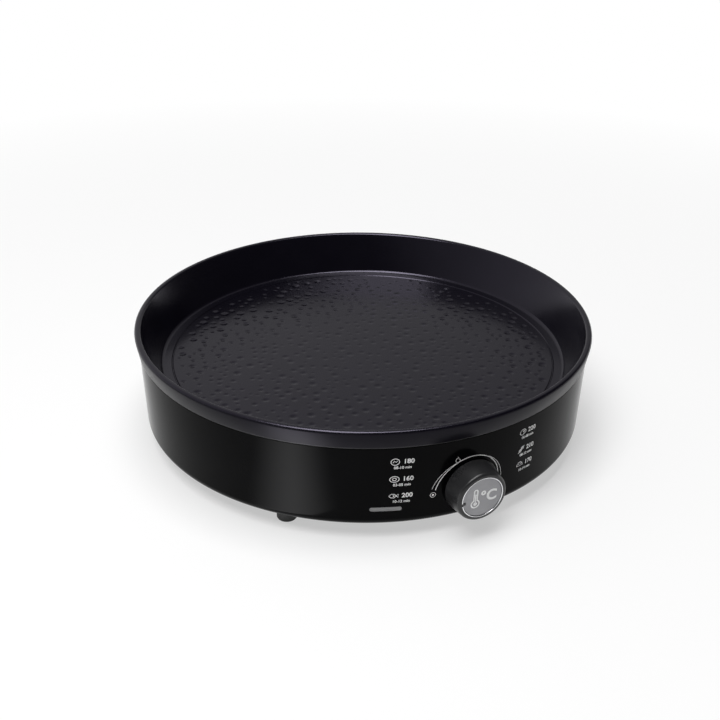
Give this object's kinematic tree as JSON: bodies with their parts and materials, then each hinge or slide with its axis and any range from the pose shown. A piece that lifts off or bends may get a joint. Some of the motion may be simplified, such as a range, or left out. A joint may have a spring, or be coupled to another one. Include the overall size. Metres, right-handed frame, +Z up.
{
  "type": "electric skillet",
  "caption": "Round countertop electric skillet: a shallow cast non-stick pan fixed on a tapered black housing with one front temperature knob and rubber feet.",
  "frame": {"origin": "on the table, under the middle of the overall box", "axes": "+Z up, the temperature knob towards -Y, the mains inlet towards +Y, +X to the right seen from the knob"},
  "size_m": [0.32, 0.3322, 0.08],
  "materials": {
    "nonstick_coating": "die-cast aluminium with a satin dark grey non-stick coating",
    "silicone_black": "matt black silicone",
    "housing_gloss_black": "glossy black moulding",
    "base_plastic": "matt black moulding",
    "foot_rubber": "matt black rubber",
    "zinc_steel": "zinc-plated steel",
    "heater_steel": "heat-stained steel sheath",
    "bead_ceramic": "matt white ceramic",
    "shield_aluminium": "mill-finish aluminium sheet",
    "thermostat_moulding": "brown thermosetting moulding",
    "brass_contact": "bare brass",
    "copper_tube": "drawn copper tube",
    "fuse_sleeve": "woven insulating sleeve",
    "lens_frosted": "frosted grey window",
    "lamp_glass": "clear neon lamp",
    "lead_brown": "brown insulation",
    "lead_blue": "blue insulation",
    "lead_green": "green insulation",
    "knob_satin_black": "satin black moulding",
    "disc_aluminium": "finely brushed grey aluminium",
    "trim_chrome": "polished chrome"
  },
  "bodies": {
    "cooker": {"pan": "nonstick_coating", "pan_seal": "silicone_black", "housing": "housing_gloss_black", "base_cover": "base_plastic", "foot_front_left": "foot_rubber", "foot_front_right": "foot_rubber", "foot_rear_left": "foot_rubber", "foot_rear_right": "foot_rubber", "foot_screws": "zinc_steel", "cover_screws": "zinc_steel", "base_bolts": "zinc_steel", "spacers": "zinc_steel", "heater_tube": "heater_steel", "heater_terminals": "zinc_steel", "heater_insulators": "bead_ceramic", "heater_clips": "zinc_steel", "heater_clip_screws": "zinc_steel", "heat_shield": "shield_aluminium", "thermostat_body": "thermostat_moulding", "thermostat_plate": "zinc_steel", "thermostat_screws": "zinc_steel", "thermostat_tabs": "brass_contact", "capillary": "copper_tube", "sensor_bulb": "copper_tube", "bulb_clip": "zinc_steel", "thermal_fuse": "fuse_sleeve", "fuse_clip": "zinc_steel", "side_clip_screws": "zinc_steel", "indicator_lens": "lens_frosted", "lamp_holder": "base_plastic", "indicator_lamp": "lamp_glass", "power_inlet": "base_plastic", "inlet_pins": "brass_contact", "inlet_screws": "zinc_steel", "live_lead": "lead_brown", "fuse_lead": "lead_brown", "heater_lead": "lead_brown", "neutral_lead": "lead_blue", "earth_lead": "lead_green", "earth_ring": "zinc_steel", "earth_screw": "zinc_steel", "lamp_leads": "lead_blue"},
    "knob": {"knob_body": "knob_satin_black", "knob_disc": "disc_aluminium", "knob_trim_ring": "trim_chrome", "knob_clip": "zinc_steel", "thermostat_shaft": "zinc_steel"}
  },
  "joints": [
    {"name": "temperature_knob", "type": "hinge", "parent": "cooker", "child": "knob", "pos_m": [0, -0.15005, 0.0325], "axis": [0, 0.9993, 0.0385], "range_deg": [0, 210]}
  ]
}
